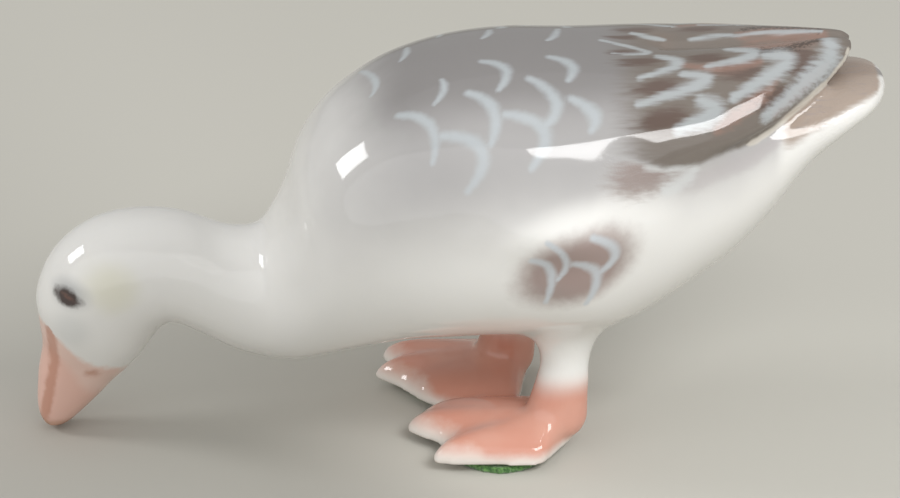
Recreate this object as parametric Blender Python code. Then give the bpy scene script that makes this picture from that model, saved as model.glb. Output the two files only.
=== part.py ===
# A glazed porcelain goose, cast in one piece, grazing with its beak at the table.
# It faces -X and stands on two felt discs, with +Z up and the origin at table level.
from math import pi

import bmesh
import bpy
import numpy as np

MM = 0.001

# Sections of the one closed skin from beak to tail, in millimetres: centre x and z,
# lean of the upright axis towards the beak in degrees, half height, half width.
SECTIONS = {
    "beak_point": (-57.0, 0.45, 69, 0.3, 0.8),
    "beak_tip": (-56.9, 1.1, 66, 1.5, 2.1),
    "beak_nail": (-56.3, 2.9, 60, 2.9, 3.0),
    "beak_middle": (-54.3, 7.2, 62, 4.7, 3.8),
    "beak_root": (-52.7, 10.6, 61, 5.8, 4.6),
    "face": (-52.0, 13.3, 58, 7.2, 6.0),
    "eyes": (-50.9, 17.0, 58, 8.8, 7.7),
    "crown": (-48.6, 21.5, 52, 9.4, 8.7),
    "back_of_head": (-45.4, 24.3, 37, 9.2, 8.9),
    "nape": (-41.4, 25.2, 22, 8.8, 8.5),
    "upper_neck": (-36.5, 24.2, 9, 8.9, 8.4),
    "lower_neck": (-31.0, 21.8, 4.5, 8.9, 8.9),
    "neck_root": (-26.3, 21.2, 5, 9.5, 10.3),
    "throat": (-23.0, 22.8, 9, 11.2, 12.5),
    "breast": (-20.3, 25.2, 12.5, 12.7, 14.9),
    "shoulder_front": (-17.6, 28.4, 15, 14.8, 17.5),
    "shoulder": (-14.1, 31.4, 15, 16.7, 19.5),
    "wing_root": (-10.0, 33.7, 14.5, 17.9, 21.0),
    "back_front": (-4.8, 35.6, 12, 19.2, 22.0),
    "back": (2.1, 37.0, 9.5, 20.2, 22.6),
    "back_middle": (9.5, 37.5, 6.5, 20.7, 22.8),
    "back_rear": (18.2, 37.6, 3.5, 20.6, 22.3),
    "thighs": (26.0, 38.9, 2, 18.7, 20.8),
    "rump": (33.5, 40.7, 2, 15.6, 18.2),
    "rump_end": (39.2, 41.9, 0, 13.1, 16.0),
    "vent": (44.0, 43.8, 0, 10.1, 13.8),
    "tail_root": (49.3, 47.3, 2, 6.2, 11.8),
    "tail": (54.3, 49.8, 4, 4.0, 10.2),
    "tail_edge": (58.0, 51.2, 6, 2.6, 7.8),
    "tail_tip": (59.9, 51.8, 6, 1.5, 4.6),
    "tail_end": (60.5, 52.0, 6, 0.6, 1.8),
}
MIDDLE_X = 1.0  # set on the origin, within 0.2 mm of halfway from beak to tail
# The sections are ellipses at the neck and the tail, and squarer along the trunk: at each x
# the power of the curve, where 2 is an ellipse.
FULL_X = (-22.0, -5.0, 35.0, 50.0)
FULL_POWER = (2.0, 2.3, 2.3, 2.0)
BODY_RINGS_EACH = 2
BODY_ROUND = 48

# The thigh swells out of each flank: centre x and z, reach along x and z, height.
THIGH_X, THIGH_Z = 18.5, 35.5
THIGH_LONG, THIGH_HIGH = 9.0, 7.0
THIGH_SWELL = 1.6

# Sections of the folded wings, in millimetres: each wing is a strip laid round the body.
# x, centre z, half height and half width of the section, degrees from its top to the wing's rim,
# depth of the strip by the middle of the back and at the rim.
WING_SECTIONS = {
    "wing_front": (12.0, 37.5, 18.1, 19.8, 47, 3.0, 3.0),
    "coverts": (18.0, 37.7, 19.7, 21.6, 56, 3.0, 3.0),
    "secondaries": (25.4, 38.8, 19.5, 21.9, 62.2, 4.0, 2.6),
    "wing_middle": (30.3, 39.8, 18.4, 21.1, 65.2, 4.5, 2.4),
    "rim_low_point": (35.2, 41.1, 17.3, 19.7, 65.8, 5.0, 2.2),
    "primaries_root": (39.3, 43.0, 15.7, 17.3, 66.3, 5.5, 2.0),
    "primaries": (42.7, 45.0, 13.9, 15.0, 67.2, 6.0, 1.9),
    "primaries_middle": (45.8, 47.0, 12.1, 12.5, 68, 6.2, 1.8),
    "primaries_end": (49.4, 49.0, 10.3, 9.7, 67, 6.0, 1.7),
    "wing_tip": (52.2, 51.0, 8.4, 6.8, 67, 4.4, 1.5),
    "wing_end": (54.5, 53.6, 5.6, 4.6, 64, 2.6, 1.2),
    "wing_point": (55.7, 56.6, 2.0, 2.4, 70, 1.0, 0.6),
}
WING_PARTING = 0.3
WING_BLUNTNESS = 0.35
WING_RINGS_EACH = 2
WING_ROUND = 24

FELT_THICKNESS = 1.0
FELT_DIAMETER = 12.6
FELT_AHEAD, FELT_OUTWARD = 8.9, 0.8
FELT_GAP = 0.3
SOLE_Z = FELT_THICKNESS + FELT_GAP

# Each leg, from the sole of its foot up into the belly. Its rings are heights, above the sole
# or above the ankle, with the share of the leg's radius there.
LEG_RADIUS = 3.35
LEG_FLARE = 5.6
ANKLE_HEIGHT = 5.4
LEG_FOOT_RINGS = ((0.2, 0.25), (1.5, 0.55), (2.9, 0.94))
LEG_SHANK_RINGS = ((0.0, 1.03), (4.5, 1.0), (8.5, 1.1))
LEG_FLARE_START = 13.0
LEG_ROUND = 24
INSTEP_SWELL = 2.0
INSTEP_Z, INSTEP_HIGH = 6.5, 5.0
LEG_BELOW_AXIS = 8.0
LEG_LEAN_BACK, LEG_LEAN_IN = 0.9, 2.0

# Each foot, round its ankle: for the outer, middle and inner toe the angle from straight ahead,
# inwards positive, and the length. Then how far the two webs lie behind the toes, the distance
# out to the foot's outer and inner side, which run along the goose's length, the heel's reach,
# and the turns that the heel's two straight cuts face, outside and inside.
# The inner sides meet under the goose's middle.
FEET = {
    "left": {
        "side": -1,
        "ankle": (15.6, 10.2),
        "toes": ((-20.0, 21.2), (11.0, 22.6), (27.0, 21.8)),
        "webs": (4.6, 0.2),
        "sides": (7.4, 11.3),
        "heel": 1.0,
        "heel_cuts": (150.0, 157.0),
    },
    "right": {
        "side": 1,
        "ankle": (9.2, 10.2),
        "toes": ((-23.3, 21.8), (-2.5, 20.0), (22.0, 15.4)),
        "webs": (3.0, 1.0),
        "sides": (9.2, 11.3),
        "heel": 2.1,
        "heel_cuts": (150.0, 172.0),
    },
}
WEB_SHARPNESS = 1.3
CORNER_SHARPNESS = 6
TOE_WIDTH = 5.2
WEB_EDGE, WEB_ROOT = 2.8, 5.3
TOE_EDGE, TOE_ROOT = 3.5, 5.6
EDGE_BLUNTNESS = 8
ANKLE_SWELL = 2.2
ANKLE_SWELL_REACH = 3.4
FOOT_TURN_SPREAD = 42
FOOT_ROUND = 84
FOOT_RINGS = 9


def clear_scene():
    for thing in list(bpy.data.objects):
        bpy.data.objects.remove(thing, do_unlink=True)


def new_collection(name):
    collection = bpy.data.collections.new(name)
    bpy.context.scene.collection.children.link(collection)
    return collection


def material(name, colour, roughness):
    made = bpy.data.materials.new(name)
    made.use_nodes = True
    shader = made.node_tree.nodes["Principled BSDF"]
    shader.inputs["Base Color"].default_value = (*colour, 1)
    shader.inputs["Roughness"].default_value = roughness
    shader.inputs["Metallic"].default_value = 0
    return made


def through(rows, each):
    """A smooth curve through the rows, as each steps from one row to the next."""
    rows = np.array(list(rows), float)
    padded = np.vstack([2 * rows[0] - rows[1], rows, 2 * rows[-1] - rows[-2]])
    at = np.arange((len(rows) - 1) * each + 1) / each
    span = np.minimum(at.astype(int), len(rows) - 2)
    t = (at - span)[:, None]
    before, start, end, after = (padded[span + k] for k in range(4))
    return 0.5 * (
        2 * start
        + (end - before) * t
        + (2 * before - 5 * start + 4 * end - after) * t**2
        + (3 * start - before - 3 * end + after) * t**3
    )


def placed(points):
    """Points in the sections' millimetres, brought to metres about the middle of the length."""
    return (np.asarray(points, float) - (MIDDLE_X, 0, 0)) * MM


def skin(name, rings, collection):
    """A closed mesh through rings of points in millimetres, its two ends drawn to their middles."""
    count, around = rings.shape[:2]
    mesh = bmesh.new()
    points = [[mesh.verts.new(p) for p in placed(ring)] for ring in rings]
    for ring, following in zip(points, points[1:]):
        for i in range(around):
            j = (i + 1) % around
            mesh.faces.new((ring[i], ring[j], following[j], following[i]))
    for ring, end in ((points[0], rings[0]), (points[-1], rings[-1])):
        middle = mesh.verts.new(placed(end.mean(axis=0)))
        for i in range(around):
            mesh.faces.new((ring[i], middle, ring[(i + 1) % around]))
    bmesh.ops.recalc_face_normals(mesh, faces=mesh.faces)
    return finish(name, mesh, collection)


def finish(name, mesh, collection):
    data = bpy.data.meshes.new(name)
    mesh.to_mesh(data)
    mesh.free()
    data.shade_smooth()
    made = bpy.data.objects.new(name, data)
    collection.objects.link(made)
    return made


def body_at(x):
    """Axis height of the body's section at x."""
    rows = np.array(list(SECTIONS.values()))
    return float(np.interp(x, rows[:, 0], rows[:, 1]))


def fuller(angle, x):
    """Cosine and sine of the angles round a section, filled out as the trunk is at x."""
    power = 2 / np.interp(x, FULL_X, FULL_POWER)
    return [np.sign(part) * np.abs(part) ** power for part in (np.cos(angle), np.sin(angle))]


def goose_body(collection):
    rows = through(SECTIONS.values(), BODY_RINGS_EACH)
    angle = np.linspace(0, 2 * pi, BODY_ROUND, endpoint=False)
    x, z, lean, high, wide = (rows[:, k, None] for k in range(5))
    lean = np.radians(lean)
    upright, across = fuller(angle, x)
    px = x - high * upright * np.sin(lean)
    pz = z + high * upright * np.cos(lean)
    py = wide * across
    swell = np.exp(-(((px - THIGH_X) / THIGH_LONG) ** 2 + ((pz - THIGH_Z) / THIGH_HIGH) ** 2))
    py = py + THIGH_SWELL * swell * across
    return skin("goose", np.stack([px, py, pz], axis=2), collection)


def wing(side, collection):
    """A strip round the body from beside the middle of the back to the rim on the flank."""
    rows = through(WING_SECTIONS.values(), WING_RINGS_EACH)
    turn = np.linspace(0, 2 * pi, WING_ROUND, endpoint=False)
    share = (1 - np.cos(turn)) / 2
    blunt = np.sign(np.sin(turn)) * np.abs(np.sin(turn)) ** WING_BLUNTNESS
    x, z, high, wide, rim, deep, thin = (rows[:, k, None] for k in range(7))
    upright, across = fuller(share * np.radians(rim), x)
    sunk = (deep + share * (thin - deep)) * (blunt - 1) / 2
    py = side * (WING_PARTING + (wide - WING_PARTING + sunk) * across)
    pz = z + (high + sunk) * upright
    return skin("wing_form", np.stack([x + 0 * py, py, pz], axis=2), collection)


def leg(foot, collection):
    """A leg that leans a little back and inwards, with an instep, and flares into the belly."""
    ankle_x, ankle_y = foot["ankle"]
    top = body_at(ankle_x) - LEG_BELOW_AXIS
    heights = [
        *((SOLE_Z + up, share * LEG_RADIUS) for up, share in LEG_FOOT_RINGS),
        *((ANKLE_HEIGHT + up, share * LEG_RADIUS) for up, share in LEG_SHANK_RINGS),
        (ANKLE_HEIGHT + LEG_FLARE_START, (LEG_RADIUS + LEG_FLARE) / 2),
        (top, LEG_FLARE),
    ]
    rows = through(heights, 2)
    angle = np.linspace(0, 2 * pi, LEG_ROUND, endpoint=False)
    z, radius = rows[:, 0, None], rows[:, 1, None]
    share = (z - SOLE_Z) / (top - SOLE_Z)
    instep = INSTEP_SWELL * np.exp(-(((z - INSTEP_Z) / INSTEP_HIGH) ** 2)) * (1 - np.cos(angle)) / 2
    x = ankle_x + LEG_LEAN_BACK * share + radius * np.cos(angle) - instep
    y = foot["side"] * (ankle_y - LEG_LEAN_IN * share) + radius * np.sin(angle)
    return skin("leg_form", np.stack([x, y, z + 0 * x], axis=2), collection)


def nearest(*distances):
    """The smallest of the distances, with a rounded corner where two of them are equal."""
    return sum(d**-CORNER_SHARPNESS for d in distances) ** (-1 / CORNER_SHARPNESS)


def foot_reach(turn, foot):
    """Distance of the foot's edge from the ankle, at each turn in degrees from straight ahead."""
    turns, lengths = zip(*foot["toes"])
    tips = np.interp(turn, turns, lengths)
    for start, end, depth in zip(turns, turns[1:], foot["webs"]):
        across = np.clip((turn - start) / (end - start), 0, 1)
        tips -= depth * np.sin(pi * across) ** WEB_SHARPNESS
    outward = turn < 0
    away = np.abs(turn)
    side = np.where(outward, *foot["sides"]) / np.sin(np.radians(np.clip(away, 1, 90)))
    cut = away - np.where(outward, *foot["heel_cuts"])
    heel = foot["heel"] / np.cos(np.radians(np.clip(cut, -89, 89)))
    return nearest(tips, side, heel)


def foot_form(foot, collection):
    """A webbed foot: a flat sole, and above it webs, toes and the ankle's swelling."""
    turn = np.degrees(np.linspace(-pi, pi, FOOT_ROUND, endpoint=False))
    turn = turn - FOOT_TURN_SPREAD * np.sin(np.radians(turn))
    reach = foot_reach(turn, foot)
    heading = np.radians(180 + foot["side"] * turn)
    ankle_x, ankle_y = foot["ankle"]
    mesh = bmesh.new()
    rings = []
    for step in np.sin(np.linspace(0, pi / 2, FOOT_RINGS + 1))[1:]:
        r = reach * step
        ridge = np.zeros_like(r)
        for place, _ in foot["toes"]:
            away = np.radians(turn - place)
            near = np.exp(-((2 * r * np.sin(away) / TOE_WIDTH) ** 2))
            ridge = np.maximum(ridge, near * (np.cos(away) > 0))
        web = WEB_ROOT + (WEB_EDGE - WEB_ROOT) * step
        toe = TOE_ROOT + (TOE_EDGE - TOE_ROOT) * step
        height = web + (toe - web) * ridge * step
        height = height + ANKLE_SWELL * np.exp(-((r / ANKLE_SWELL_REACH) ** 2))
        height = height * np.sqrt(1 - step**EDGE_BLUNTNESS)
        x = ankle_x + r * np.cos(heading)
        y = foot["side"] * ankle_y + r * np.sin(heading)
        z = SOLE_Z + height
        rings.append([mesh.verts.new(p) for p in placed(np.stack([x, y, z], axis=1))])
    middle = (ankle_x, foot["side"] * ankle_y)
    top = mesh.verts.new(placed((*middle, SOLE_Z + WEB_ROOT + ANKLE_SWELL)))
    low = mesh.verts.new(placed((*middle, SOLE_Z)))
    for i in range(FOOT_ROUND):
        j = (i + 1) % FOOT_ROUND
        mesh.faces.new((top, rings[0][i], rings[0][j]))
        mesh.faces.new((low, rings[-1][j], rings[-1][i]))
        for ring, following in zip(rings, rings[1:]):
            mesh.faces.new((ring[i], following[i], following[j], ring[j]))
    bmesh.ops.recalc_face_normals(mesh, faces=mesh.faces)
    return finish("foot_form", mesh, collection)


def join(whole, form):
    form.hide_render = True
    form.display_type = "WIRE"
    union = whole.modifiers.new(form.name, "BOOLEAN")
    union.operation = "UNION"
    union.object = form


def felt_disc(name, foot, collection, look):
    bpy.ops.mesh.primitive_cylinder_add(
        vertices=64,
        radius=FELT_DIAMETER / 2 * MM,
        depth=FELT_THICKNESS * MM,
        location=placed((*felt_place(foot), FELT_THICKNESS / 2)),
    )
    disc = bpy.context.object
    disc.name = name
    disc.data.name = name
    disc.data.materials.append(look)
    for old in list(disc.users_collection):
        old.objects.unlink(disc)
    collection.objects.link(disc)
    return disc


def felt_place(foot):
    """The disc lies under the webs, ahead of the ankle and a little outwards."""
    ankle_x, ankle_y = foot["ankle"]
    return ankle_x - FELT_AHEAD, foot["side"] * (ankle_y + FELT_OUTWARD)


clear_scene()
figurine = new_collection("goose_figurine")
forms = new_collection("joined_forms")
porcelain = material("glazed_porcelain", (0.62, 0.61, 0.60), 0.08)
felt = material("green_wool_felt", (0.07, 0.19, 0.05), 0.95)

goose = goose_body(figurine)
goose.data.materials.append(porcelain)
for side in (-1, 1):
    join(goose, wing(side, forms))
for foot in FEET.values():
    join(goose, leg(foot, forms))
    join(goose, foot_form(foot, forms))
for name, foot in FEET.items():
    felt_disc(f"{name}_foot_felt", foot, figurine, felt)
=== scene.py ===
import bpy
import numpy as np
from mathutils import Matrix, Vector


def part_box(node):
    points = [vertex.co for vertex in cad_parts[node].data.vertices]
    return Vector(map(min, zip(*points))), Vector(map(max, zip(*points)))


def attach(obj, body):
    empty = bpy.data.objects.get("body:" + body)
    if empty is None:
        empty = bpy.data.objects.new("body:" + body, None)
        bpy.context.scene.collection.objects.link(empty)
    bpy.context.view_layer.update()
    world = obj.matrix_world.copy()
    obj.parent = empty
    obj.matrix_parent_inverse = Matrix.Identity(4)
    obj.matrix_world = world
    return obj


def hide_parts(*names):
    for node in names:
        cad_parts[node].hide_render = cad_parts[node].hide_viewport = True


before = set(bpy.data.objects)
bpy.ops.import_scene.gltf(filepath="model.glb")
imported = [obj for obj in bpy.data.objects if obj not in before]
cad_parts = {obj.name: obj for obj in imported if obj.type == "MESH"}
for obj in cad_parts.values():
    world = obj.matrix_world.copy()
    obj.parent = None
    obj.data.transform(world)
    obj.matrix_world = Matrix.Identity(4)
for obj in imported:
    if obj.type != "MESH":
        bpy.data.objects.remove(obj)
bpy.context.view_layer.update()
mm = 0.001
middleX = 1.0  # the CAD's own shift from the sections' measure to the origin
scene = bpy.context.scene


# sRGB hex to linear: each channel over 255, then the sRGB curve undone.
def linear(hexColour):
    channels = np.array([int(hexColour[i : i + 2], 16) for i in (1, 3, 5)]) / 255
    low = channels / 12.92
    high = ((channels + 0.055) / 1.055) ** 2.4
    return (*np.where(channels <= 0.04045, low, high).tolist(), 1.0)


# A node with its settings, its values and its links: a socket given as a value makes a link.
def add(tree, kind, inputs=(), **settings):
    made = tree.nodes.new(kind)
    for name, value in settings.items():
        setattr(made, name, value)
    for key, value in dict(inputs).items():
        if isinstance(value, bpy.types.NodeSocket):
            tree.links.new(value, made.inputs[key])
        else:
            made.inputs[key].default_value = value
    return made


def newMaterial(name):
    made = bpy.data.materials.new(name)
    made.use_nodes = True
    tree = made.node_tree
    return made, tree, tree.nodes["Principled BSDF"]


# A smooth curve through the rows: between two rows the cubic that leaves and meets them with
# half the step from the row before to the row after, in this many steps each.
def throughRows(rows, each):
    rows = np.array(list(rows), float)
    padded = np.vstack([2 * rows[0] - rows[1], rows, 2 * rows[-1] - rows[-2]])
    at = np.arange((len(rows) - 1) * each + 1) / each
    span = np.minimum(at.astype(int), len(rows) - 2)
    t = (at - span)[:, None]
    before, start, end, after = (padded[span + k] for k in range(4))
    return 0.5 * (
        2 * start
        + (end - before) * t
        + (2 * before - 5 * start + 4 * end - after) * t**2
        + (3 * start - before - 3 * end + after) * t**3
    )


# Points and faces of a closed skin: quads between neighbouring rings of points, and a fan from
# each end ring to its middle.
def closedSurface(rings):
    points = np.concatenate([rings.reshape(-1, 3), [rings[0].mean(axis=0), rings[-1].mean(axis=0)]])
    count, around = rings.shape[:2]
    i, j = np.meshgrid(np.arange(count - 1), np.arange(around), indexing="ij")
    k = (j + 1) % around
    quads = np.stack([i * around + j, i * around + k, (i + 1) * around + k, (i + 1) * around + j], -1)
    j = np.arange(around)
    k = (j + 1) % around
    startFan = np.stack([k, j, np.full(around, count * around)], -1)
    endBase = (count - 1) * around
    endFan = np.stack([endBase + j, endBase + k, np.full(around, count * around + 1)], -1)
    return points, quads.reshape(-1, 4).tolist() + startFan.tolist() + endFan.tolist()


# Several closed skins as one list of points and one of faces.
def gathered(surfaces):
    points, faces, start = [], [], 0
    for surfacePoints, surfaceFaces in surfaces:
        faces += [[corner + start for corner in face] for face in surfaceFaces]
        points.append(surfacePoints)
        start += len(surfacePoints)
    return np.concatenate(points), faces


# The goose's body: sections from beak to tail as x, z, lean of the upright axis, half height and
# half width in mm. They are ellipses at the neck and tail, and squarer along the trunk.
body = {
    "sections": (
        (-57.0, 0.45, 69, 0.3, 0.8),
        (-56.9, 1.1, 66, 1.5, 2.1),
        (-56.3, 2.9, 60, 2.9, 3.0),
        (-54.3, 7.2, 62, 4.7, 3.8),
        (-52.7, 10.6, 61, 5.8, 4.6),
        (-52.0, 13.3, 58, 7.2, 6.0),
        (-50.9, 17.0, 58, 8.8, 7.7),
        (-48.6, 21.5, 52, 9.4, 8.7),
        (-45.4, 24.3, 37, 9.2, 8.9),
        (-41.4, 25.2, 22, 8.8, 8.5),
        (-36.5, 24.2, 9, 8.9, 8.4),
        (-31.0, 21.8, 4.5, 8.9, 8.9),
        (-26.3, 21.2, 5, 9.5, 10.3),
        (-23.0, 22.8, 9, 11.2, 12.5),
        (-20.3, 25.2, 12.5, 12.7, 14.9),
        (-17.6, 28.4, 15, 14.8, 17.5),
        (-14.1, 31.4, 15, 16.7, 19.5),
        (-10.0, 33.7, 14.5, 17.9, 21.0),
        (-4.8, 35.6, 12, 19.2, 22.0),
        (2.1, 37.0, 9.5, 20.2, 22.6),
        (9.5, 37.5, 6.5, 20.7, 22.8),
        (18.2, 37.6, 3.5, 20.6, 22.3),
        (26.0, 38.9, 2, 18.7, 20.8),
        (33.5, 40.7, 2, 15.6, 18.2),
        (39.2, 41.9, 0, 13.1, 16.0),
        (44.0, 43.8, 0, 10.1, 13.8),
        (49.3, 47.3, 2, 6.2, 11.8),
        (54.3, 49.8, 4, 4.0, 10.2),
        (58.0, 51.2, 6, 2.6, 7.8),
        (59.9, 51.8, 6, 1.5, 4.6),
        (60.5, 52.0, 6, 0.6, 1.8),
    ),
    "fullAt": (-22.0, -5.0, 35.0, 50.0),
    "fullPower": (2.0, 2.3, 2.3, 2.0),
    "each": 12,
    "around": 320,
    "thigh": {"x": 15.5, "z": 38.6, "long": 8.0, "high": 3.4, "swell": 1.9},
}
bodyRows = np.array(body["sections"])

# The folded wings: x, centre z, half height, half width, rim angle, depth by the middle of the
# back and at the rim. The first two rows rise out of the flank without a step.
wings = {
    "sections": (
        (12.0, 37.5, 20.2, 22.2, 47, 3.0, 3.0),
        (18.0, 37.65, 20.45, 22.25, 56, 3.0, 3.0),
        (25.4, 38.8, 19.5, 21.9, 62.2, 4.0, 2.6),
        (30.3, 39.8, 18.4, 21.1, 65.2, 4.5, 2.4),
        (35.2, 41.1, 17.3, 19.7, 65.8, 5.0, 2.2),
        (39.3, 43.0, 15.7, 17.3, 66.3, 5.5, 2.0),
        (42.7, 45.0, 13.9, 15.0, 67.2, 6.0, 1.9),
        (45.8, 47.0, 12.1, 12.5, 68, 6.2, 1.8),
        (49.4, 49.0, 10.3, 9.7, 67, 6.0, 1.7),
        (52.2, 51.0, 8.4, 6.8, 67, 4.4, 1.5),
        (54.5, 53.6, 5.6, 4.6, 64, 2.6, 1.2),
        (55.7, 56.6, 2.0, 2.4, 70, 1.0, 0.6),
    ),
    "each": 20,
    "around": 160,
    "parting": 0.3,
    "bluntness": 0.35,
}

legs = {
    "radius": 3.35,
    "flare": 5.6,
    "flareStart": 13.0,
    "ankleHeight": 5.4,
    "soleZ": 1.3,
    "footRings": ((0.2, 0.25), (1.5, 0.55), (2.9, 0.94)),  # height over the sole, share of the radius
    "shankRings": ((0.0, 1.03), (4.5, 1.0), (8.5, 1.1)),  # height over the ankle, share of the radius
    "instep": {"swell": 2.0, "z": 6.5, "high": 5.0},
    "belowAxis": 8.0,
    "leanBack": 0.9,
    "leanIn": 2.0,
    "each": 12,
    "around": 96,
}

# Each foot round its ankle: angle from straight ahead and length of the outer, middle and inner
# toe, how far the webs lie behind them, the reach to the outer and inner side, and the heel.
feet = {
    "left": {
        "side": -1,
        "ankle": (15.6, 10.2),
        "toes": ((-20.0, 21.2), (11.0, 22.6), (27.0, 21.8)),
        "webs": (4.6, 0.2),
        "sides": (7.4, 11.3),
        "heel": 1.0,
        "heelCuts": (150.0, 157.0),
    },
    "right": {
        "side": 1,
        "ankle": (9.2, 10.2),
        "toes": ((-23.3, 21.8), (-2.5, 20.0), (22.0, 15.4)),
        "webs": (3.0, 1.0),
        "sides": (9.2, 11.3),
        "heel": 2.1,
        "heelCuts": (150.0, 172.0),
    },
}
footShape = {
    "webSharpness": 1.3,
    "cornerSharpness": 6,
    "toeWidth": 5.2,
    "web": (5.3, 2.8),  # height by the ankle and at the edge
    "toe": (5.6, 3.5),
    "edgeBluntness": 8,
    "ankleSwell": 2.2,
    "ankleReach": 3.4,
    "turnSpread": 42,
    "around": 480,
    "rings": 60,
}


# Cosine and sine of the angles round a section, each raised to 2 over the section's power at x.
def fuller(angle, x):
    power = 2 / np.interp(x, body["fullAt"], body["fullPower"])
    return [np.sign(part) * np.abs(part) ** power for part in (np.cos(angle), np.sin(angle))]


# The sections one after another, each leaning towards the beak; the flanks swell over the thighs
# by a bell of the distance from the thigh's middle.
def bodySurface():
    rows = throughRows(body["sections"], body["each"])
    angle = np.linspace(0, 2 * np.pi, body["around"], endpoint=False)
    x, z, lean, high, wide = (rows[:, k, None] for k in range(5))
    lean = np.radians(lean)
    upright, across = fuller(angle, x)
    px = x - high * upright * np.sin(lean)
    pz = z + high * upright * np.cos(lean)
    thigh = body["thigh"]
    away = ((px - thigh["x"]) / thigh["long"]) ** 2 + ((pz - thigh["z"]) / thigh["high"]) ** 2
    py = (wide + thigh["swell"] * np.exp(-away)) * across
    return closedSurface(np.stack([px, py, pz], axis=2))


# A strip round the body from beside the middle of the back out to the rim, as thick as its depth
# there and blunt at both edges.
def wingSurface(side):
    rows = throughRows(wings["sections"], wings["each"])
    turn = np.linspace(0, 2 * np.pi, wings["around"], endpoint=False)
    share = (1 - np.cos(turn)) / 2
    blunt = np.sign(np.sin(turn)) * np.abs(np.sin(turn)) ** wings["bluntness"]
    x, z, high, wide, rim, deep, thin = (rows[:, k, None] for k in range(7))
    upright, across = fuller(share * np.radians(rim), x)
    sunk = (deep + share * (thin - deep)) * (blunt - 1) / 2
    py = side * (wings["parting"] + (wide - wings["parting"] + sunk) * across)
    pz = z + (high + sunk) * upright
    return closedSurface(np.stack([x + 0 * py, py, pz], axis=2))


# A leg that leans a little back and inwards, swells forward at the instep, and flares into the
# belly: circles through its rings.
def legSurface(foot):
    ankleX, ankleY = foot["ankle"]
    sole, ankle, radius, flare = legs["soleZ"], legs["ankleHeight"], legs["radius"], legs["flare"]
    top = np.interp(ankleX, bodyRows[:, 0], bodyRows[:, 1]) - legs["belowAxis"]
    heights = [
        *((sole + up, share * radius) for up, share in legs["footRings"]),
        *((ankle + up, share * radius) for up, share in legs["shankRings"]),
        (ankle + legs["flareStart"], (radius + flare) / 2),
        (top, flare),
    ]
    rows = throughRows(heights, legs["each"])
    angle = np.linspace(0, 2 * np.pi, legs["around"], endpoint=False)
    z, r = rows[:, 0, None], rows[:, 1, None]
    share = (z - sole) / (top - sole)
    instep = legs["instep"]
    swell = instep["swell"] * np.exp(-(((z - instep["z"]) / instep["high"]) ** 2))
    px = ankleX + legs["leanBack"] * share + r * np.cos(angle) - swell * (1 - np.cos(angle)) / 2
    py = foot["side"] * (ankleY - legs["leanIn"] * share) + r * np.sin(angle)
    return closedSurface(np.stack([px, py, z + 0 * px], axis=2))


# Distance of the foot's edge from the ankle at each turn from straight ahead: the smallest of the
# toes with the webs between them, the straight sides and the heel's cuts, with round corners.
def footEdge(turn, foot):
    turns, lengths = zip(*foot["toes"])
    tips = np.interp(turn, turns, lengths)
    for start, end, depth in zip(turns, turns[1:], foot["webs"]):
        across = np.clip((turn - start) / (end - start), 0, 1)
        tips = tips - depth * np.sin(np.pi * across) ** footShape["webSharpness"]
    outward, away = turn < 0, np.abs(turn)
    side = np.where(outward, *foot["sides"]) / np.sin(np.radians(np.clip(away, 1, 90)))
    cut = away - np.where(outward, *foot["heelCuts"])
    heel = foot["heel"] / np.cos(np.radians(np.clip(cut, -89, 89)))
    sharpness = footShape["cornerSharpness"]
    return (tips**-sharpness + side**-sharpness + heel**-sharpness) ** (-1 / sharpness)


# A height over each turn and share of the reach: webs that thin to the edge, a low ridge along
# each toe, and a swelling at the ankle, over a flat sole.
def footSurface(foot):
    ankleX, ankleY = foot["ankle"]
    turn = np.degrees(np.linspace(-np.pi, np.pi, footShape["around"], endpoint=False))
    turn = turn - footShape["turnSpread"] * np.sin(np.radians(turn))
    heading = np.radians(180 + foot["side"] * turn)
    step = np.sin(np.linspace(0, np.pi / 2, footShape["rings"] + 1))[1:, None]
    r = footEdge(turn, foot)[None, :] * step
    away = np.radians(turn[None, :] - np.array([place for place, _ in foot["toes"]])[:, None])
    near = np.exp(-((2 * r[None] * np.sin(away)[:, None, :] / footShape["toeWidth"]) ** 2))
    ridge = (near * (np.cos(away) > 0)[:, None, :]).max(axis=0)
    web = footShape["web"][0] + (footShape["web"][1] - footShape["web"][0]) * step
    toe = footShape["toe"][0] + (footShape["toe"][1] - footShape["toe"][0]) * step
    height = web + (toe - web) * ridge * step
    height = height + footShape["ankleSwell"] * np.exp(-((r / footShape["ankleReach"]) ** 2))
    height = height * np.sqrt(1 - step ** footShape["edgeBluntness"])
    px = ankleX + r * np.cos(heading)
    py = foot["side"] * ankleY + r * np.sin(heading)
    points, faces = closedSurface(np.stack([px, py, legs["soleZ"] + height], axis=2))
    top = footShape["web"][0] + footShape["ankleSwell"]
    points[-2] = (ankleX, foot["side"] * ankleY, legs["soleZ"] + top)
    points[-1] = (ankleX, foot["side"] * ankleY, legs["soleZ"])
    return points, faces


# Voxel and lengths in mm. Leg joins lie round each ankle, moved back and in from it; wing joins
# are soft steps: the measure, and its values where the step is 0 and where it is 1.
skin = {
    "voxel": 0.475,
    "strength": 0.5,
    "evenRounds": 8,
    "softRounds": 140,
    "legJoins": (
        {"back": 0.5, "in": 1.2, "reach": (10.0, 6.5), "z": (11, 14), "below": 24, "share": 1},
        {"back": -1, "in": 0, "reach": (8.5, 5.5), "z": (3.4, 4.6), "below": 13, "share": 0.12},
    ),
    "wingJoins": (
        (("x", 29, 23), ("x", 8, 13), ("z", 40, 46)),
        (("x", 37.5, 31), ("x", 8, 13), ("z", 40, 43), ("z", 57, 54)),
    ),
}


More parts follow.
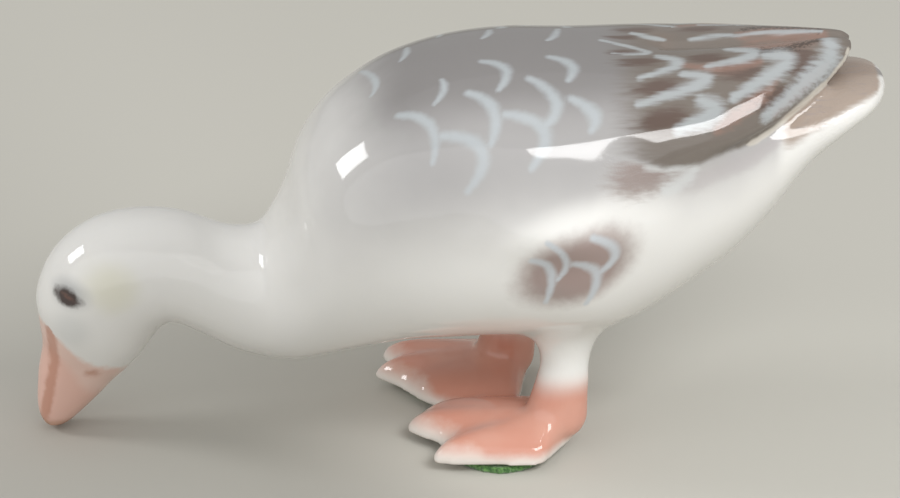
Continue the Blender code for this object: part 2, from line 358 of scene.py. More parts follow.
# Each point moves by its strength towards the mean of its neighbours, round after round.
def relaxed(points, ends, strength, rounds):
    a, b = ends
    count = len(points)
    neighbours = (np.bincount(a, minlength=count) + np.bincount(b, minlength=count))[:, None]
    for _ in range(rounds):
        total = np.stack(
            [np.bincount(a, points[b, k], count) + np.bincount(b, points[a, k], count) for k in range(3)], 1
        )
        points = points + strength[:, None] * (total / neighbours - points)
    return points


def readPoints(mesh):
    flat = np.empty(len(mesh.vertices) * 3, np.float32)
    mesh.vertices.foreach_get("co", flat)
    return flat.reshape(-1, 3).astype(float)


# A soft step, 0 at low and 1 at high: three squares less two cubes of the share of the way
# between them. Low may be the larger one.
def smooth(low, high, value):
    t = np.clip((value - low) / (high - low), 0, 1)
    return t * t * (3 - 2 * t)


# The product of several soft steps, each of a measure between its two values.
def stepped(steps, measures):
    product = 1.0
    for name, low, high in steps:
        product = product * smooth(low, high, measures[name])
    return product


# 1 where the legs meet the belly and where the wings' fronts and front rims rise out of the body,
# a little round the ankles, else 0.
def softJoins(p):
    x, y, z = p.T
    soft = np.zeros(len(p))
    for foot in feet.values():
        ankleX, ankleY = foot["ankle"]
        for join in skin["legJoins"]:
            away = np.hypot(x + middleX - ankleX - join["back"], y - foot["side"] * (ankleY - join["in"]))
            near = join["share"] * smooth(*join["reach"], away) * smooth(*join["z"], z)
            soft = np.maximum(soft, near * (z < join["below"]))
    for join in skin["wingJoins"]:
        soft = np.maximum(soft, stepped(join, {"x": x, "z": z}))
    return soft


# All forms in one level set, read back as one even skin, then relaxed like glaze that has run.
def gooseSkin():
    surfaces = [bodySurface(), wingSurface(-1), wingSurface(1)]
    for foot in feet.values():
        surfaces += [legSurface(foot), footSurface(foot)]
    points, faces = gathered(surfaces)
    raw = bpy.data.meshes.new("gooseForms")
    raw.from_pydata(((points - (middleX, 0, 0)) * mm).tolist(), [], faces)
    goose = bpy.data.objects.new("goosePorcelain", raw)
    scene.collection.objects.link(goose)
    oneSkin = goose.modifiers.new("oneSkin", "REMESH")
    oneSkin.mode = "VOXEL"
    oneSkin.voxel_size = skin["voxel"] * mm
    graph = bpy.context.evaluated_depsgraph_get()
    mesh = bpy.data.meshes.new_from_object(goose.evaluated_get(graph))
    goose.modifiers.clear()
    goose.data = mesh
    bpy.data.meshes.remove(raw)
    mesh.name = "goosePorcelain"
    p = readPoints(mesh) / mm
    ends = np.empty(len(mesh.edges) * 2, np.int32)
    mesh.edges.foreach_get("vertices", ends)
    ends = ends.reshape(-1, 2).T
    p = relaxed(p, ends, np.full(len(p), skin["strength"]), skin["evenRounds"])
    p = relaxed(p, ends, skin["strength"] * softJoins(p), skin["softRounds"])
    mesh.vertices.foreach_set("co", (p * mm).astype(np.float32).ravel())
    mesh.shade_smooth()
    mesh.update()
    return goose, p


goose, points = gooseSkin()
print("goose skin:", len(points), "points")

# Underglaze painting. Marks lie on a chart of the body: x in mm, and degrees round the body's
# axis from the top of the back. Each mark has its start, bulge, end and half width in mm.
painting = {
    "backArcs": (
        ((-2.4, 21), (-2.2, 27), (-3.6, 33), 0.5),
        ((1.1, 31), (4.5, 40), (3.9, 53), 0.8),
        ((-8.5, 33), (-4.2, 42), (-4.0, 56), 0.65),
        ((-2.7, 47), (2.7, 55), (0.7, 68), 0.85),
        ((3.2, 13), (6.4, 20), (5.3, 31), 0.7),
        ((9.6, 26), (13.0, 37), (11.5, 47), 0.85),
        ((6.1, 42), (11.2, 49), (9.4, 62), 0.85),
        ((12.6, 12), (15.5, 18), (14.9, 27), 0.75),
        ((15.2, 36), (18.1, 43), (17.7, 49), 0.85),
    ),
    # marks across the ridge, where degrees below 0 are on the right side
    "ridgeArcs": (
        ((-13.4, -15), (-11.4, 5), (-12.1, 15), 0.45),
        ((-6.9, -18), (-7.0, -10), (-7.9, -4), 0.5),
        ((4.7, -19), (4.5, -13), (3.5, -8), 0.5),
        ((14.3, -18), (13.6, -8), (12.5, -3), 0.5),
    ),
    "chevrons": (
        ((27.5, 13), (30.0, 21), (24.7, 28), 0.8),
        ((30.8, 28), (33.3, 34), (24.2, 41), 0.9),
        ((32.8, 43), (34.6, 49), (29.5, 54), 1.15),
        ((37.2, 10), (40.7, 18), (34.2, 24), 0.8),
        ((42.3, 20), (45.0, 28), (37.4, 43), 1.1),
        ((51.2, 12), (50.2, 35), (41.8, 55), 1.25),
    ),
    "ridgeChevrons": (
        ((20.1, -4), (26.3, 8), (21.3, 9), 0.5),
        ((24.5, -13), (26.6, -9), (28.8, -6), 0.6),
        ((32.4, -6), (35.5, -8), (38.8, -7), 0.5),
        ((39.3, -7), (44.9, -9), (50.6, -7), 0.45),
    ),
    # dark brown hearts of the wing feathers: x, degrees, half length and half width in mm
    "hearts": (
        (24.8, 17, 3.8, 1.5),
        (27.0, 34, 4.2, 1.7),
        (27.4, 49, 4.4, 1.9),
        (22.9, 8, 3.0, 1.0),
        (38.4, 28, 4.4, 2.2),
        (47.3, 30, 2.6, 2.8),
        (42.8, 47, 4.6, 1.5),
        (34.0, 17, 3.6, 1.4),
    ),
    # orange bands between the feathers
    "bands": (
        ((31.0, 22), (36.0, 26), (41.5, 24), 1.0),
        ((35.0, 56), (39.5, 48), (43.5, 38), 1.0),
        ((40.0, 7), (45.0, 9), (50.5, 3), 1.7),
        ((43.0, 55), (47.8, 45), (51.0, 32), 0.7),
    ),
    "grooveSpecks": (((40.0, 13), (45.0, 16), (50.5, 8), 0.9),),
    "paleUnder": (
        ((25.0, 65), (28.3, 67), (31.6, 68), 0.8),
        ((27.6, 76), (30.0, 75), (31.8, 71), 1.2),
    ),
    # the brown spot on each thigh: x, degrees, half length and half height in mm, slope
    "thighSpot": (15.4, 99.5, 8.4, 5.8, 0.2),
    "thighArcs": (
        ((9.3, 94), (12.0, 99), (11.4, 113), 0.62),
        ((11.4, 87), (14.0, 94), (12.9, 103), 0.52),
        ((15.2, 96), (18.3, 102), (17.0, 115), 0.7),
        ((17.6, 86), (20.8, 94), (18.6, 102), 0.65),
    ),
    # the wing's rim on the chart
    "rimX": (20.0, 23.5, 27.7, 32.5, 36.7, 40.5, 44.0, 46.2, 48.2, 50.9, 53.3, 53.9),
    "rimTurn": (58, 62, 67, 69, 66, 66, 62, 59, 56, 47, 31, 20),
    # the height where the top of the tail ends
    "tailX": (38.3, 41.7, 44.8, 48.4, 51.2, 53.5),
    "tailZ": (50.2, 50.9, 51.8, 53.0, 54.3, 56.0),
    # the freckled patch under the wing, brown underglaze with painted shade, measured as the thigh spot is,
    # without a slope
    "underWingBrownAndShade": (24.5, 68, 7.0, 4.4),
    # the painted shade under the rim, over a lilac-grey wash, in degrees past the rim and half its
    # width, and half the width in mm of the pale line along the rim
    "underRimShade": (8, 6),
    "rimLineHalf": 0.4,
    # where the beak's colour ends: x and height
    "beakX": (-60.0, -58.7, -57.3, -56.4, -53.9, -52.6, -50.3, -47.9, -45.0),
    "beakZ": (19.4, 18.4, 17.7, 16.6, 14.3, 12.9, 12.2, 11.2, 10.5),
    # painted shade along the nostril groove down the beak, half its width, and how much of its
    # strength the painted shade at the beak's corner has
    "grooveShadeX": (-58.9, -56.9, -57.4),
    "grooveShadeZ": (2.0, 12.0, 17.6),
    "grooveShadeHalf": 0.9,
    "cornerShadeShare": 0.7,
    # bells by name: x and height of the middle, half length and half height
    "bells": {
        "cheek": (-48.4, 25.5, 4.5, 4.5),
        # face: painted shade, a cool grey over the side of the face between the eye and the beak
        "face": (-54.6, 18.5, 3.5, 3.5),
        # painted shade at the beak's corner
        "beakCornerShade": (-51.6, 10.6, 1.7, 1.1),
    },
    # the eye's middle, and from there to the end of its long and of its short axis
    "eye": {"middle": (-54.8, -6.8, 23.6), "long": (1.6, -1.2, -0.75), "short": (0.72, -0.22, 1.1)},
    # ovals in shares of the eye's axes: half length, middle and half height along the short axis
    "ovals": {"eye": (1, 0, 1), "eyeGreyRing": (1.9167, 0.5, 2.3), "eyeRed": (0.75, 0.1, 0.3)},
    # soft steps by name: the measure, and its values where the step is 0 and where it is 1
    "steps": {
        "tail": (("x", 43, 46), ("overTail", 0.2, -0.5)),
        "overRim": (("pastRim", 3, -2),),
        "greyWash": (("turn", 112, 50), ("x", -34, 0), ("spot", 0.9, 1.9)),
        "greyTop": (("turn", 62, 20), ("x", -22, -4)),
        "wingEnd": (("x", 17, 28), ("z", 41, 47)),
        "underWingBrownAndShade": (("patch", 1.3, 0.1),),
        "underRimShade": (("x", 26, 33), ("x", 52, 46)),
        "rimLineStart": (("x", 40, 37),),
        "rimLineEnd": (("x", 50, 54),),
        "tailGrain": (("x", 46, 50), ("z", 40, 46)),
        "tailTop": (("turn", 90, 72), ("x", 59.3, 57.6)),
    },
    # the same two values in mm for the beak's tip, the feet's wash and the toes before the ankle
    "tipZ": (3.4, 1.0),
    "pinkZ": (15, 7.5),
    "toesAhead": (4, 13),
    # limits in mm: head, beak tip and feet in x, tail's grain and feet's edge in height; the last
    # is in degrees, for the marks near the ridge
    "headTo": -43,
    "beakTipTo": -54,
    "feetFrom": -20,
    "grainBelow": 54,
    "footEdgeBelow": 8,
    "ridgeTurn": 20,
    # the field of a mark that is far away, and how much further off a faded mark is
    "far": 9.0,
    "faded": 4,
    # marks: steps of the curve, reach in mm, share of the width and of the arch at the ends
    "curveSteps": 12,
    "reach": 16,
    "thinEnd": 0.35,
    "archEnd": 0.1,
    # the least radius in mm that turns degrees of the chart into mm
    "leastRadius": 6,
}


# x, the degrees round the body's axis from the top, and the body's radius there.
def aroundBody(p):
    x, y, z = p.T
    axis = np.interp(x + middleX, bodyRows[:, 0], bodyRows[:, 1])
    radius = np.interp(x + middleX, bodyRows[:, 0], bodyRows[:, 3:5].mean(axis=1))
    return x, np.degrees(np.arctan2(np.abs(y), z - axis)), np.maximum(radius, painting["leastRadius"])


# Distance to the nearest mark over its half width. A mark is the parabola through its start,
# bulge and end, which thins towards both ends.
def nearestMark(x, turn, radius, marks):
    best = np.full(len(x), painting["far"])
    t = np.linspace(0, 1, painting["curveSteps"] + 1)[:, None]
    arch = painting["archEnd"] + (1 - 2 * painting["archEnd"]) * t[1:, 0]
    widths = painting["thinEnd"] + (1 - painting["thinEnd"]) * np.sin(np.pi * arch)
    for start, bulge, end, half in marks:
        start, bulge, end = np.array((start, bulge, end), float)
        pull = 2 * bulge - (start + end) / 2
        curve = (1 - t) ** 2 * start + 2 * t * (1 - t) * pull + t**2 * end
        near = np.nonzero(np.abs(x - curve[:, 0].mean()) < painting["reach"])[0]
        turnScale = np.radians(1) * radius[near]
        px, py = x[near], turn[near] * turnScale
        for (ax, aTurn), (bx, bTurn), width in zip(curve, curve[1:], widths):
            ay, stepX, stepY = aTurn * turnScale, bx - ax, (bTurn - aTurn) * turnScale
            along = ((px - ax) * stepX + (py - ay) * stepY) / (stepX**2 + stepY**2)
            along = np.clip(along, 0, 1)
            gap = np.hypot(px - ax - along * stepX, py - ay - along * stepY)
            best[near] = np.minimum(best[near], gap / (half * width))
    return best


# Distance from a patch's middle in shares of its half length and half height. Its long axis may
# slope, in mm of height for each mm of length.
def fromPatch(at, patchX, patchTurn, long, high, slope=0):
    u, v = at["x"] - patchX, (at["turn"] - patchTurn) * at["arc"]
    return np.hypot(u / long, (v + slope * u) / high)


# A bell over x and height: e to the minus square of the distance in shares of its half sizes.
def bell(name, x, z):
    bellX, bellZ, long, high = painting["bells"][name]
    return np.exp(-(((x - bellX) / long) ** 2 + ((z - bellZ) / high) ** 2))


# Back, wings, tail and thighs. Washes run from 0 to 1, marks are the distance to the nearest one
# over its half width, and the thigh spot is in shares of its axes. Grain drives the bump.
def bodyFields(p):
    x, turn, radius = aroundBody(p)
    y, z = p[:, 1], p[:, 2]
    at = {"x": x, "z": z, "turn": turn, "arc": np.radians(1) * radius}
    at["spot"] = fromPatch(at, *painting["thighSpot"])
    at["patch"] = fromPatch(at, *painting["underWingBrownAndShade"])
    at["pastRim"] = turn - np.interp(x, painting["rimX"], painting["rimTurn"])
    at["overTail"] = z - np.interp(x, painting["tailX"], painting["tailZ"])
    step = {name: stepped(steps, at) for name, steps in painting["steps"].items()}
    tail = step["tail"]
    overRim = step["overRim"] * (1 - tail)

    fields = {"greyWash": step["greyWash"] * (1 - tail), "greyTop": step["greyTop"]}
    fields["wingEnd"] = step["wingEnd"] * overRim
    heart = np.max([np.exp(-(fromPatch(at, *row) ** 2)) for row in painting["hearts"]], axis=0)
    fields["heart"] = heart * overRim
    for name in ("backArcs", "chevrons", "bands", "grooveSpecks", "paleUnder", "thighArcs"):
        fields[name] = nearestMark(x, turn, radius, painting[name])
    # near the ridge the right side has marks of its own
    right = y > 0
    nearRidge = right & (turn < painting["ridgeTurn"])
    for name, ridgeName in (("backArcs", "ridgeArcs"), ("chevrons", "ridgeChevrons")):
        ridge = nearestMark(x, np.where(right, -turn, turn), radius, painting[ridgeName])
        fields[name] = np.minimum(fields[name] + painting["far"] * nearRidge, ridge)
    faded = painting["faded"]
    for name in ("chevrons", "bands", "grooveSpecks"):
        fields[name] = fields[name] + faded * (1 - overRim)
    # brown underglaze with painted shade under the wing's edge
    fields["underWingBrownAndShade"] = step["underWingBrownAndShade"] * (1 - overRim)
    # painted shade just below the wing's rim, over a lilac-grey wash
    pastRim, half = painting["underRimShade"]
    shade = np.exp(-(((at["pastRim"] - pastRim) / half) ** 2))
    fields["underRimShade"] = step["underRimShade"] * shade * (1 - overRim)
    fields["rimLine"] = np.abs(at["pastRim"]) * at["arc"] / painting["rimLineHalf"]
    fields["rimLine"] = fields["rimLine"] + faded * (step["rimLineStart"] + tail * step["rimLineEnd"])
    fields["grain"] = np.maximum(fields["underWingBrownAndShade"], step["tailGrain"] * (z < painting["grainBelow"]))
    fields["tailTop"] = tail * step["tailTop"]
    fields["thighSpot"] = at["spot"]
    return fields


# Cheek, face, beak and eyes. The beak's field is the height in mm under its colour's edge, and
# the eyes' are shares of their axes, the same on both sides of the head.
def headFields(p):
    x, y, z = p.T
    onHead = x < painting["headTo"]
    # the face's bell lays painted shade between the eye and the beak
    fields = {"cheek": bell("cheek", x, z), "face": bell("face", x, z)}
    edge = np.interp(x, painting["beakX"], painting["beakZ"])
    fields["beak"] = np.where(onHead, edge - z, -painting["far"])
    # painted shade along the nostril groove down the beak, and at the beak's corner
    grooveShadeX = np.interp(z, painting["grooveShadeZ"], painting["grooveShadeX"])
    grooveShade = np.exp(-(((x - grooveShadeX) / painting["grooveShadeHalf"]) ** 2))
    grooveShade = np.maximum(grooveShade, painting["cornerShadeShare"] * bell("beakCornerShade", x, z))
    fields["beakGrooveShade"] = grooveShade * (fields["beak"] > 0)
    fields["beakTip"] = smooth(*painting["tipZ"], z) * (x < painting["beakTipTo"])
    eye = painting["eye"]
    offset = np.stack([x, -np.abs(y), z], 1) - eye["middle"]
    long, short = (offset @ np.linalg.pinv(np.array([eye["long"], eye["short"]]))).T
    for name, (longHalf, middle, shortHalf) in painting["ovals"].items():
        share = np.hypot(long / longHalf, (short - middle) / shortHalf)
        fields[name] = share + painting["far"] * ~onHead
    return fields


# The feet's wash from 0 to 1, the share of the way from the ankle to the foot's edge, and the
# height in mm.
def footFields(p):
    x, y, z = p.T
    behindHead = x > painting["feetFrom"]
    fields = {"footPink": smooth(*painting["pinkZ"], z) * behindHead}
    edgeShare = np.zeros(len(p))
    for foot in feet.values():
        ankleX, ankleY = foot["ankle"]
        ahead, inward = ankleX - middleX - x, ankleY - foot["side"] * y
        onFoot = np.sign(y) == foot["side"]
        reach = footEdge(np.degrees(np.arctan2(np.where(onFoot, inward, 0), ahead)), foot)
        share = onFoot * np.hypot(ahead, inward) / reach
        edgeShare = np.maximum(edgeShare, share * smooth(*painting["toesAhead"], ahead))
    fields["footEdge"] = edgeShare * (z < painting["footEdgeBelow"]) * behindHead
    fields["footHeight"] = np.where(behindHead, z, painting["far"])
    return fields


# Each field becomes a layer of values on the skin's points.
def paint(mesh, p):
    for name, values in {**bodyFields(p), **headFields(p), **footFields(p)}.items():
        layer = mesh.attributes.new(name, "FLOAT", "POINT")
        layer.data.foreach_set("value", values.astype(np.float32))


paint(goose.data, points)
print("painted fields laid on the skin")

# Porcelain: slip-cast, painted in soft underglaze colours, under a clear glossy glaze. The glaze
# gives the eye sharp lamp reflections over milky white, and colours with soft bled edges.
porcelain = {
    "white": "#EDECE9",
    "roughness": 0.06,
    "ior": 1.55,
    "translucence": 0.12,
    "translucenceDepth": 0.0012,
    "translucenceTint": (1.0, 0.95, 0.85),
    # waves of the glaze, some 8 mm long and under 0.1 mm deep
    "waves": {"Scale": 130.0, "Detail": 1.0},
    "waveStrength": 0.35,
    "waveDepth": 0.0001,
    # textures that break the colours up: size over x and over y and z in mm, and detail
    "textures": {
        "cloud": (11.0, 11.0, 3),
        "fine": (1.4, 1.4, 4),
        "streak": (3.6, 0.6, 5),
        "speck": (0.4, 0.3, 2),
    },
    "grainDepth": 0.00006,
    # each coat in turn: field, texture and how far it shifts the field, the field's values where
    # the coat starts and is full, its opacity and its colour
    "coats": (
        ("greyWash", "cloud", 0.2, 0.06, 1.0, 0.94, "#A8A6A6"),
        ("greyTop", "cloud", 0.3, 0.09, 1.0, 0.85, "#7F7C7B"),
        ("backArcs", "fine", 0.9, 1.9, 0.1, 0.6, "#C0C9CE"),
        # brown underglaze with painted shade under the wing's edge
        ("underWingBrownAndShade", "streak", 0.8, 0.24, 1.0, 0.8, "#95857F"),
        # painted shade below the wing's rim, over a lilac-grey wash
        ("underRimShade", "streak", 0.5, 0.2, 1.0, 0.45, "#B2ABAC"),
        ("paleUnder", "streak", 1.6, 1.6, 0.1, 0.6, "#D3D6D6"),
        ("wingEnd", "streak", 0.45, 0.13, 1.0, 1.0, "#787069"),
        ("wingEnd", "cloud", 3.2, 1.1, 2.0, 0.4, "#8F7A6D"),
        ("heart", "streak", 0.9, 0.27, 0.9, 0.85, "#615049"),
        ("bands", "streak", 2.2, 1.7, 0.0, 0.7, "#94766A"),
        ("grooveSpecks", "speck", 3.4, 1.2, 0.0, 0.8, "#453D38"),
        ("chevrons", "streak", 2.0, 1.9, 0.2, 0.8, "#B3B9BC"),
        ("tailTop", "streak", 0.5, 0.15, 0.9, 0.9, "#A08E80"),
        ("tailTop", "streak", -2.4, 1.0, 1.7, 0.65, "#8F8A8E"),
        ("rimLine", "fine", 0.6, 1.5, 0.4, 0.7, "#D9D3C8"),
        ("thighSpot", "fine", 0.2, 1.24, 0.6, 0.86, "#94807A"),
        ("thighSpot", "cloud", 1.6, 1.0, 0.2, 0.35, "#A88C86"),
        ("thighArcs", "fine", 0.7, 1.8, 0.2, 0.85, "#CBD2D8"),
        ("cheek", "cloud", 1.0, 0.27, 1.1, 0.45, "#DDDABC"),
        # painted shade on the face between the eye and the beak
        ("face", "cloud", 0.3, 0.2, 1.0, 0.35, "#C6C9C8"),
        ("beak", "fine", 1.6, -0.6, 1.0, 1.0, "#E8CABE"),
        ("beak", "cloud", 9.0, 3.0, 6.5, 0.45, "#DFA997"),
        # painted shade along the beak's nostril groove and at its corner
        ("beakGrooveShade", "fine", 0.7, 0.2, 0.9, 0.75, "#C08A74"),
        ("beakTip", "fine", 0.4, 0.2, 1.0, 0.7, "#B98A6C"),
        ("footPink", "cloud", 0.3, 0.08, 1.0, 1.0, "#D69A87"),
        ("footPink", "cloud", 2.0, 0.9, 2.0, 0.55, "#E3BFAF"),
        ("footEdge", "fine", 0.12, 0.78, 1.04, 0.8, "#EBE0D8"),
        ("footHeight", "fine", 0.6, 3.6, 1.8, 0.9, "#ECE7E1"),
        # a soft grey ring round the eye
        ("eyeGreyRing", "cloud", 0.3, 1.1, 0.2, 0.55, "#9A9EA1"),
        ("eye", "fine", 0.9, 1.35, 0.65, 0.95, "#3E2E2B"),
        ("eyeRed", "fine", 0.6, 1.3, 0.3, 0.6, "#7A5B51"),
    ),
}


# Each coat lies on the ones before: the field, shifted by its texture, makes a soft mask between
# the coat's start and its full value, and that mask times the opacity mixes in its colour.
def porcelainMaterial():
    made, tree, shader = newMaterial("glazedPaintedPorcelain")
    place = add(tree, "ShaderNodeTexCoord").outputs["Object"]
    textures = {}
    for name, (alongX, across, detail) in porcelain["textures"].items():
        scale = (1 / (alongX * mm), 1 / (across * mm), 1 / (across * mm))
        mapped = add(tree, "ShaderNodeMapping", {"Vector": place, "Scale": scale}).outputs[0]
        noise = add(tree, "ShaderNodeTexNoise", {"Vector": mapped, "Scale": 1.0, "Detail": detail})
        textures[name] = add(tree, "ShaderNodeMath", {0: noise.outputs["Fac"], 1: 0.5}, operation="SUBTRACT")
    colour = linear(porcelain["white"])
    for name, texture, shift, start, full, opacity, coat in porcelain["coats"]:
        field = add(tree, "ShaderNodeAttribute", attribute_name=name).outputs["Fac"]
        shifted = {0: textures[texture].outputs[0], 1: shift, 2: field}
        shifted = add(tree, "ShaderNodeMath", shifted, operation="MULTIPLY_ADD").outputs[0]
        mask = {"Value": shifted, "From Min": start, "From Max": full, "To Max": opacity}
        mask = add(tree, "ShaderNodeMapRange", mask, interpolation_type="SMOOTHSTEP").outputs["Result"]
        colours = {0: mask, 6: colour, 7: linear(coat)}
        colour = add(tree, "ShaderNodeMix", colours, data_type="RGBA").outputs[2]
    tree.links.new(colour, shader.inputs["Base Color"])
    shader.inputs["Roughness"].default_value = porcelain["roughness"]
    shader.inputs["IOR"].default_value = porcelain["ior"]
    shader.inputs["Subsurface Weight"].default_value = porcelain["translucence"]
    shader.inputs["Subsurface Radius"].default_value = porcelain["translucenceTint"]
    shader.inputs["Subsurface Scale"].default_value = porcelain["translucenceDepth"]
    waves = add(tree, "ShaderNodeTexNoise", {"Vector": place, **porcelain["waves"]}).outputs["Fac"]
    bump = {"Height": waves, "Strength": porcelain["waveStrength"], "Distance": porcelain["waveDepth"]}
    waved = add(tree, "ShaderNodeBump", bump).outputs["Normal"]
    # grains of thick pigment under the wing and on the tail, which break its highlights up
    grain = add(tree, "ShaderNodeAttribute", attribute_name="grain").outputs["Fac"]
    grain = {0: grain, 1: textures["speck"].outputs[0]}
    grain = add(tree, "ShaderNodeMath", grain, operation="MULTIPLY").outputs[0]
    bump = {"Height": grain, "Strength": 1.0, "Distance": porcelain["grainDepth"], "Normal": waved}
    tree.links.new(add(tree, "ShaderNodeBump", bump).outputs["Normal"], shader.inputs["Normal"])
    return made


goose.data.materials.clear()
goose.data.materials.append(porcelainMaterial())
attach(goose, "root")
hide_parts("goose")

# Green felt discs glued under the feet: pressed wool, so the cut edge is fuzzy. Sizes in mm.
felt = {
    "colour": "#6C9A55",
    "colourDeep": "#35612C",
    "thick": 0.95,
    "diameter": 12.4,
    "wave": 0.045,
    "waves": (3, 5, 8, 13, 21, 34, 55, 72),
    "around": 320,
    "roundness": 0.25,
    "flatRings": 6,
    "edgeRings": 9,
    "lift": 0.02,
    "fibres": {"Scale": 2300.0, "Detail": 4.0},
    "fibreRange": (0.36, 0.64),
    "sheen": 0.5,
    "napDepth": 0.0004,  # in metres, as the shader takes it
}


# Rings out along the bottom, round the edge and back over the top, about the middle of the disc's
# solid. The edge wavers by a few sines of the turn, whose size and phase come from the seed.
def feltDisc(name, node, seed):
    low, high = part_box(node)
    middle = ((np.array(low) + np.array(high)) / 2 / mm)[:2]
    turn = np.linspace(0, 2 * np.pi, felt["around"], endpoint=False)
    rng = np.random.default_rng(seed)
    size = rng.uniform(-felt["wave"], felt["wave"], len(felt["waves"]))
    phase = rng.uniform(0, 2 * np.pi, len(felt["waves"]))
    waver = sum(s * np.sin(k * turn + f) for k, s, f in zip(felt["waves"], size, phase))
    bend = np.linspace(-np.pi / 2, np.pi / 2, felt["edgeRings"])
    flat, out = np.zeros(felt["flatRings"]), np.linspace(0.1, 0.9, felt["flatRings"])
    inset = np.concatenate([flat, felt["roundness"] * (1 - np.cos(bend)), flat])
    share = np.concatenate([out, np.ones(felt["edgeRings"]), out[::-1]])[:, None]
    z = np.concatenate([flat, (1 + np.sin(bend)) / 2, flat + 1]) * felt["thick"] + felt["lift"]
    radius = (felt["diameter"] / 2 - inset[:, None]) * share + waver * share**4
    px, py = middle[0] + radius * np.cos(turn), middle[1] + radius * np.sin(turn)
    discPoints, discFaces = closedSurface(np.stack([px, py, z[:, None] + 0 * radius], 2))
    mesh = bpy.data.meshes.new(name)
    mesh.from_pydata((discPoints * mm).tolist(), [], discFaces)
    mesh.shade_smooth()
    disc = bpy.data.objects.new(name, mesh)
    scene.collection.objects.link(disc)
    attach(disc, "root")
    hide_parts(node)
    return disc


# Pressed wool: fibres of two greens, matt with a faint sheen, and a coarse nap at the cut edge.
def feltMaterial():
    made, tree, shader = newMaterial("pressedWoolFelt")
    place = add(tree, "ShaderNodeTexCoord").outputs["Object"]
    fibres = add(tree, "ShaderNodeTexNoise", {"Vector": place, **felt["fibres"]}).outputs["Fac"]
    low, high = felt["fibreRange"]
    share = add(tree, "ShaderNodeMapRange", {"Value": fibres, "From Min": low, "From Max": high}).outputs[0]
    ends = {0: share, 6: linear(felt["colourDeep"]), 7: linear(felt["colour"])}
    colour = add(tree, "ShaderNodeMix", ends, data_type="RGBA").outputs[2]
    tree.links.new(colour, shader.inputs["Base Color"])
    shader.inputs["Roughness"].default_value = 1.0
    shader.inputs["Sheen Weight"].default_value = felt["sheen"]
    bump = {"Height": fibres, "Strength": 1.0, "Distance": felt["napDepth"]}
    tree.links.new(add(tree, "ShaderNodeBump", bump).outputs["Normal"], shader.inputs["Normal"])
    return made


feltLook = feltMaterial()
for seed, name in enumerate(feet):
    disc = feltDisc(name + "FootFelt", name + "_foot_felt", seed)
    disc.data.materials.append(feltLook)
print("felt discs made")

stage = {"floor": "#C5C3BB", "size": 6.0, "roughness": 0.9}


# Matt paper that reaches past the camera's view on all sides.
def makeFloor():
    half = stage["size"] / 2
    corners = [(-half, -half, 0), (half, -half, 0), (half, half, 0), (-half, half, 0)]
    mesh = bpy.data.meshes.new("floor")
    mesh.from_pydata(corners, [], [(0, 1, 2, 3)])
    floor = bpy.data.objects.new("floor", mesh)
    scene.collection.objects.link(floor)
    made, tree, shader = newMaterial("paleStudioPaper")
    shader.inputs["Base Color"].default_value = linear(stage["floor"])
    shader.inputs["Roughness"].default_value = stage["roughness"]
    mesh.materials.append(made)


# Each lamp's shape, azimuth from the camera's side towards the goose's tail and elevation in
# degrees, distance from the aim, width and height in metres, and power in watts.
lamps = {
    "keyWindow": ("RECTANGLE", 37, 45, 0.8, 0.5, 0.25, 3.9),
    "sideWindow": ("RECTANGLE", -98, 31, 0.8, 0.22, 0.22, 1.4),
    "frontFill": ("ELLIPSE", -25, 28, 1.2, 2.8, 1.3, 6.4),
    "topFill": ("RECTANGLE", 180, 80, 0.9, 0.9, 0.9, 0.6),
}
lampAim = (0, 0, 0.03)
# The key window's barn door, which keeps its light off the head: the light grows from least to
# full between the two x, in mm where it crosses a wall at y.
barnDoor = {"lamp": "keyWindow", "y": -10.0, "dark": -32.0, "light": 0.0, "least": 0.08}
room = {"colour": "#E4E3E0", "strength": 0.5}


# The unit vector to an azimuth and elevation.
def direction(azimuth, elevation):
    a, e = np.radians(azimuth), np.radians(elevation)
    return Vector((np.sin(a) * np.cos(e), -np.cos(a) * np.cos(e), np.sin(e)))


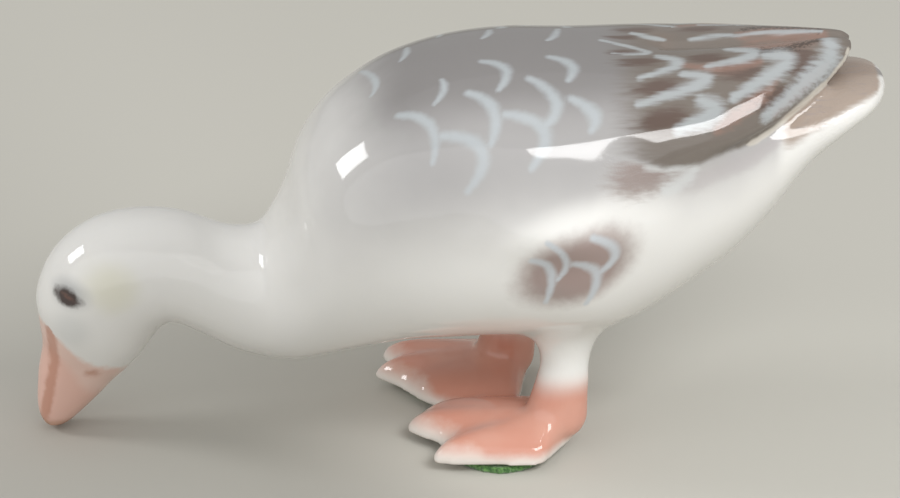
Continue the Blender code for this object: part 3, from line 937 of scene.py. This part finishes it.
# The lamp's light times a soft step of the x at which it crosses the wall: the point on the lamp
# plus its direction times the way to the wall.
def hangBarnDoor(data):
    data.use_nodes = True
    tree = data.node_tree
    geometry = add(tree, "ShaderNodeNewGeometry").outputs
    start = add(tree, "ShaderNodeSeparateXYZ", {0: geometry["Position"]}).outputs
    heading = add(tree, "ShaderNodeSeparateXYZ", {0: geometry["Incoming"]}).outputs
    way = {0: barnDoor["y"] * mm, 1: start["Y"]}
    way = add(tree, "ShaderNodeMath", way, operation="SUBTRACT").outputs[0]
    way = add(tree, "ShaderNodeMath", {0: way, 1: heading["Y"]}, operation="DIVIDE").outputs[0]
    crossing = {0: way, 1: heading["X"], 2: start["X"]}
    crossing = add(tree, "ShaderNodeMath", crossing, operation="MULTIPLY_ADD").outputs[0]
    step = {"Value": crossing, "From Min": barnDoor["dark"] * mm, "From Max": barnDoor["light"] * mm}
    step["To Min"] = barnDoor["least"]
    step = add(tree, "ShaderNodeMapRange", step, interpolation_type="SMOOTHSTEP").outputs["Result"]
    tree.links.new(step, tree.nodes["Emission"].inputs["Strength"])


def makeLamps():
    for name, (shape, azimuth, elevation, distance, wide, high, power) in lamps.items():
        data = bpy.data.lights.new(name, "AREA")
        data.shape = shape
        data.size, data.size_y = wide, high
        data.energy = power
        if name == barnDoor["lamp"]:
            hangBarnDoor(data)
        made = bpy.data.objects.new(name, data)
        towards = direction(azimuth, elevation)
        made.location = Vector(lampAim) + towards * distance
        made.rotation_euler = towards.to_track_quat("Z", "Y").to_euler()
        scene.collection.objects.link(made)
    world = bpy.data.worlds.new("paleRoom")
    world.use_nodes = True
    background = world.node_tree.nodes["Background"]
    background.inputs["Color"].default_value = linear(room["colour"])
    background.inputs["Strength"].default_value = room["strength"]
    scene.world = world


# Degrees, metres, the target in mm, and the focal length and the photograph's width in pixels.
view = {
    "azimuth": -2.0,
    "elevation": 25.0,
    "distance": 0.75,
    "target": (-1.0, 0.0, 26.93),
    "focal": 5325,
    "photoWidth": 900,
    "nearest": 0.01,
}


def makeCamera():
    data = bpy.data.cameras.new("camera")
    data.lens = data.sensor_width * view["focal"] / view["photoWidth"]
    data.clip_start = view["nearest"]
    made = bpy.data.objects.new("camera", data)
    towards = direction(view["azimuth"], view["elevation"])
    made.location = Vector(view["target"]) * mm + towards * view["distance"]
    made.rotation_euler = towards.to_track_quat("Z", "Y").to_euler()
    scene.collection.objects.link(made)
    scene.camera = made


makeFloor()
makeLamps()
makeCamera()
scene.view_settings.view_transform = "Standard"
print("stage, lamps and camera set")
